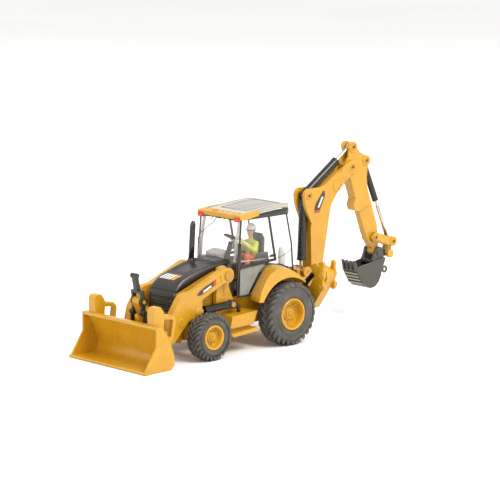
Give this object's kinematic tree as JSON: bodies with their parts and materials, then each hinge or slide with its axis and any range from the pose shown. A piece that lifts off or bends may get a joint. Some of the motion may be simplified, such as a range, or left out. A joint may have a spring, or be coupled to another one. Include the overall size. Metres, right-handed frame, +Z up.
{
  "type": "toy backhoe loader",
  "caption": "Die-cast style toy backhoe loader: front loader bucket on lift arms, glazed cab with seated figure, and a swinging rear boom, stick and digging bucket with stabilizers.",
  "frame": {"origin": "on the ground plane under the centre of the bounding box", "axes": "+X forward to the loader bucket, +Y to the machine's left, +Z up"},
  "size_m": [0.1696, 0.054, 0.0814],
  "materials": {
    "yellow_paint": "semi-gloss yellow enamel",
    "dark_paint": "satin black-brown enamel",
    "tyre": "matt moulded rubber",
    "chrome_rod": "polished",
    "pin_steel": "dull steel",
    "hoe_grey": "satin warm grey enamel",
    "clear": "clear moulded plastic",
    "smoke_panel": "grey translucent plastic",
    "roof_grey": "translucent grey plastic",
    "interior_grey": "matt",
    "seat_grey": "matt",
    "figure": "painted plastic figure",
    "lamp": "white and red lenses"
  },
  "bodies": {
    "machine": {"chassis_frame": "yellow_paint", "side_boxes": "yellow_paint", "rear_fenders": "yellow_paint", "engine_cowl": "yellow_paint", "hood": "dark_paint", "grille": "dark_paint", "exhaust_stack": "dark_paint", "cab_posts": "dark_paint", "cab_glass": "clear", "door_panels": "smoke_panel", "roof_panel": "roof_grey", "roof_visor": "yellow_paint", "roof_lamps": "lamp", "cab_interior": "interior_grey", "seat": "seat_grey", "operator": "figure", "steering_wheel": "seat_grey", "chassis_pins": "pin_steel", "rear_axle_shaft": "pin_steel"},
    "front_axle": {"front_axle_beam": "yellow_paint"},
    "rear_wheel_left": {"rear_tyre_left": "tyre", "rear_rim_left": "yellow_paint"},
    "rear_wheel_right": {"rear_tyre_right": "tyre", "rear_rim_right": "yellow_paint"},
    "front_wheel_left": {"front_tyre_left": "tyre", "front_rim_left": "yellow_paint"},
    "front_wheel_right": {"front_tyre_right": "tyre", "front_rim_right": "yellow_paint"},
    "lift_arms": {"loader_arms": "yellow_paint", "loader_pins": "pin_steel"},
    "lever": {"bellcrank": "dark_paint"},
    "tilt_links": {"bucket_link": "dark_paint"},
    "front_bucket": {"loader_bucket": "yellow_paint"},
    "lift_cylinder_left": {"lift_barrel_left": "dark_paint"},
    "lift_piston_left": {"lift_rod_left": "chrome_rod"},
    "lift_cylinder_right": {"lift_barrel_right": "dark_paint"},
    "lift_piston_right": {"lift_rod_right": "chrome_rod"},
    "swing": {"swing_frame": "yellow_paint", "swing_pins": "pin_steel"},
    "hoe_boom": {"boom": "yellow_paint", "boom_pins": "pin_steel"},
    "boom_cylinder": {"boom_barrel": "dark_paint"},
    "boom_piston": {"boom_rod": "chrome_rod"},
    "stick": {"stick_outer": "yellow_paint"},
    "stick_tip": {"stick_inner": "yellow_paint"},
    "stick_cylinder": {"stick_barrel": "dark_paint"},
    "stick_piston": {"stick_rod": "chrome_rod"},
    "curl_cylinder": {"curl_barrel": "dark_paint"},
    "curl_piston": {"curl_rod": "chrome_rod"},
    "idler": {"idler_link": "yellow_paint"},
    "power": {"power_link": "yellow_paint"},
    "rear_bucket": {"hoe_bucket": "hoe_grey"},
    "leg_left": {"stab_leg_left": "yellow_paint"},
    "pad_left": {"stab_pad_left": "yellow_paint"},
    "leg_cylinder_left": {"stab_barrel_left": "dark_paint"},
    "leg_piston_left": {"stab_rod_left": "chrome_rod"},
    "leg_right": {"stab_leg_right": "yellow_paint"},
    "pad_right": {"stab_pad_right": "yellow_paint"},
    "leg_cylinder_right": {"stab_barrel_right": "dark_paint"},
    "leg_piston_right": {"stab_rod_right": "chrome_rod"}
  },
  "joints": [
    {"name": "axle_sway", "type": "hinge", "parent": "machine", "child": "front_axle", "pos_m": [0.04565, 0, 0.01], "axis": [1, 0, 0], "range_deg": [-4, 4]},
    {"name": "rear_wheel_spin_left", "type": "hinge", "parent": "machine", "child": "rear_wheel_left", "pos_m": [0.00025, 0.019, 0.0137], "axis": [0, 1, 0], "continuous": true},
    {"name": "front_wheel_spin_left", "type": "hinge", "parent": "front_axle", "child": "front_wheel_left", "pos_m": [0.04565, 0.02, 0.01], "axis": [0, 1, 0], "continuous": true},
    {"name": "rear_wheel_spin_right", "type": "hinge", "parent": "machine", "child": "rear_wheel_right", "pos_m": [0.00025, -0.019, 0.0137], "axis": [0, 1, 0], "continuous": true},
    {"name": "front_wheel_spin_right", "type": "hinge", "parent": "front_axle", "child": "front_wheel_right", "pos_m": [0.04565, -0.02, 0.01], "axis": [0, 1, 0], "continuous": true},
    {"name": "loader_lift", "type": "hinge", "parent": "machine", "child": "lift_arms", "pos_m": [0.02985, 0, 0.0332], "axis": [0, -1, 0], "range_deg": [0, 50]},
    {"name": "lift_cylinder_turn_left", "type": "hinge", "parent": "machine", "child": "lift_cylinder_left", "pos_m": [0.02675, 0.0132, 0.0203], "axis": [0, -1, 0], "range_deg": [-0.3, 37.95]},
    {"name": "lift_piston_turn_left", "type": "hinge", "parent": "lift_arms", "child": "lift_piston_left", "pos_m": [0.04645, 0.0132, 0.0196], "axis": [0, -1, 0], "range_deg": [-12.65, 0.3]},
    {"name": "lift_cylinder_turn_right", "type": "hinge", "parent": "machine", "child": "lift_cylinder_right", "pos_m": [0.02675, -0.0132, 0.0203], "axis": [0, -1, 0], "range_deg": [-0.3, 37.95]},
    {"name": "lift_piston_turn_right", "type": "hinge", "parent": "lift_arms", "child": "lift_piston_right", "pos_m": [0.04645, -0.0132, 0.0196], "axis": [0, -1, 0], "range_deg": [-12.65, 0.3]},
    {"name": "bucket_tilt", "type": "hinge", "parent": "lift_arms", "child": "front_bucket", "pos_m": [0.06525, 0, 0.009], "axis": [0, 1, 0], "range_deg": [-10, 60]},
    {"name": "lever_turn", "type": "hinge", "parent": "lift_arms", "child": "lever", "pos_m": [0.06655, 0, 0.025], "axis": [0, 1, 0], "range_deg": [-10.3, 60.3]},
    {"name": "tilt_link_turn", "type": "hinge", "parent": "lever", "child": "tilt_links", "pos_m": [0.06715, 0, 0.0204], "axis": [0, 1, 0], "range_deg": [-60.3, 10.3]},
    {"name": "boom_swing", "type": "hinge", "parent": "machine", "child": "swing", "pos_m": [-0.02225, 0, 0.0218], "axis": [0, 0, 1], "range_deg": [-30, 30]},
    {"name": "boom_lower", "type": "hinge", "parent": "swing", "child": "hoe_boom", "pos_m": [-0.03375, 0, 0.022], "axis": [0, -1, 0], "range_deg": [0, 40]},
    {"name": "boom_cylinder_turn", "type": "hinge", "parent": "hoe_boom", "child": "boom_cylinder", "pos_m": [-0.02875, 0, 0.0599], "axis": [0, -1, 0], "range_deg": [-0.3, 2.02]},
    {"name": "boom_piston_turn", "type": "hinge", "parent": "swing", "child": "boom_piston", "pos_m": [-0.02695, 0, 0.0262], "axis": [0, -1, 0], "range_deg": [-0.3, 42.02]},
    {"name": "stick_turn", "type": "hinge", "parent": "hoe_boom", "child": "stick", "pos_m": [-0.05565, 0, 0.0702], "axis": [0, 1, 0], "range_deg": [-20, 30]},
    {"name": "stick_cylinder_turn", "type": "hinge", "parent": "hoe_boom", "child": "stick_cylinder", "pos_m": [-0.02875, 0, 0.0599], "axis": [0, 1, 0], "range_deg": [-3.62, 5.28]},
    {"name": "stick_piston_turn", "type": "hinge", "parent": "stick", "child": "stick_piston", "pos_m": [-0.05705, 0, 0.079], "axis": [0, 1, 0], "range_deg": [-25.32, 16.98]},
    {"name": "stick_extend", "type": "slide", "parent": "stick", "child": "stick_tip", "axis": [-0.3502, 0, -0.9367], "range_m": [0, 0.0032]},
    {"name": "bucket_curl", "type": "hinge", "parent": "stick_tip", "child": "rear_bucket", "pos_m": [-0.07295, 0, 0.0299], "axis": [0, 1, 0], "range_deg": [0, 40]},
    {"name": "idler_turn", "type": "hinge", "parent": "stick_tip", "child": "idler", "pos_m": [-0.07105, 0, 0.0365], "axis": [0, 1, 0], "range_deg": [-0.3, 27.9]},
    {"name": "power_link_turn", "type": "hinge", "parent": "idler", "child": "power", "pos_m": [-0.08265, 0, 0.0334], "axis": [0, 1, 0], "range_deg": [-34.3, 0.3]},
    {"name": "curl_cylinder_turn", "type": "hinge", "parent": "stick", "child": "curl_cylinder", "pos_m": [-0.06555, 0, 0.0722], "axis": [0, 1, 0], "range_deg": [-0.3, 4.25]},
    {"name": "curl_piston_turn", "type": "hinge", "parent": "idler", "child": "curl_piston", "pos_m": [-0.08265, 0, 0.0334], "axis": [0, 1, 0], "range_deg": [-23.95, 0.3]},
    {"name": "stabilizer_left", "type": "hinge", "parent": "machine", "child": "leg_left", "pos_m": [-0.01905, 0.0145, 0.0155], "axis": [-1, 0, 0], "range_deg": [0, 75]},
    {"name": "pad_turn_left", "type": "hinge", "parent": "leg_left", "child": "pad_left", "pos_m": [-0.01905, 0.0252, 0.029], "axis": [-1, 0, 0], "range_deg": [-75.3, 0.3]},
    {"name": "leg_cylinder_turn_left", "type": "hinge", "parent": "machine", "child": "leg_cylinder_left", "pos_m": [-0.01905, 0.008, 0.02], "axis": [-1, 0, 0], "range_deg": [-0.3, 58.42]},
    {"name": "leg_piston_turn_left", "type": "hinge", "parent": "leg_left", "child": "leg_piston_left", "pos_m": [-0.01905, 0.0193, 0.031], "axis": [-1, 0, 0], "range_deg": [-17.18, 0.3]},
    {"name": "stabilizer_right", "type": "hinge", "parent": "machine", "child": "leg_right", "pos_m": [-0.01905, -0.0145, 0.0155], "axis": [1, 0, 0], "range_deg": [0, 75]},
    {"name": "pad_turn_right", "type": "hinge", "parent": "leg_right", "child": "pad_right", "pos_m": [-0.01905, -0.0252, 0.029], "axis": [1, 0, 0], "range_deg": [-75.3, 0.3]},
    {"name": "leg_cylinder_turn_right", "type": "hinge", "parent": "machine", "child": "leg_cylinder_right", "pos_m": [-0.01905, -0.008, 0.02], "axis": [1, 0, 0], "range_deg": [-0.3, 58.42]},
    {"name": "leg_piston_turn_right", "type": "hinge", "parent": "leg_right", "child": "leg_piston_right", "pos_m": [-0.01905, -0.0193, 0.031], "axis": [1, 0, 0], "range_deg": [-17.18, 0.3]}
  ],
  "couplings": [
    {"joint": "lift_cylinder_turn_left", "follows": "loader_lift", "ratio": 0.753},
    {"joint": "lift_piston_turn_left", "follows": "loader_lift", "ratio": -0.247},
    {"joint": "lift_cylinder_turn_right", "follows": "loader_lift", "ratio": 0.753},
    {"joint": "lift_piston_turn_right", "follows": "loader_lift", "ratio": -0.247},
    {"joint": "lever_turn", "follows": "bucket_tilt", "ratio": 1},
    {"joint": "tilt_link_turn", "follows": "bucket_tilt", "ratio": -1},
    {"joint": "boom_cylinder_turn", "follows": "boom_lower", "ratio": 0.043},
    {"joint": "boom_piston_turn", "follows": "boom_lower", "ratio": 1.043},
    {"joint": "stick_cylinder_turn", "follows": "stick_turn", "ratio": 0.166},
    {"joint": "stick_piston_turn", "follows": "stick_turn", "ratio": -0.834},
    {"joint": "idler_turn", "follows": "bucket_curl", "ratio": 0.69},
    {"joint": "power_link_turn", "follows": "bucket_curl", "ratio": -0.85},
    {"joint": "curl_cylinder_turn", "follows": "bucket_curl", "ratio": 0.09867},
    {"joint": "curl_piston_turn", "follows": "bucket_curl", "ratio": -0.59133},
    {"joint": "pad_turn_left", "follows": "stabilizer_left", "ratio": -1},
    {"joint": "leg_cylinder_turn_left", "follows": "stabilizer_left", "ratio": 0.775},
    {"joint": "leg_piston_turn_left", "follows": "stabilizer_left", "ratio": -0.225},
    {"joint": "pad_turn_right", "follows": "stabilizer_right", "ratio": -1},
    {"joint": "leg_cylinder_turn_right", "follows": "stabilizer_right", "ratio": 0.775},
    {"joint": "leg_piston_turn_right", "follows": "stabilizer_right", "ratio": -0.225}
  ]
}
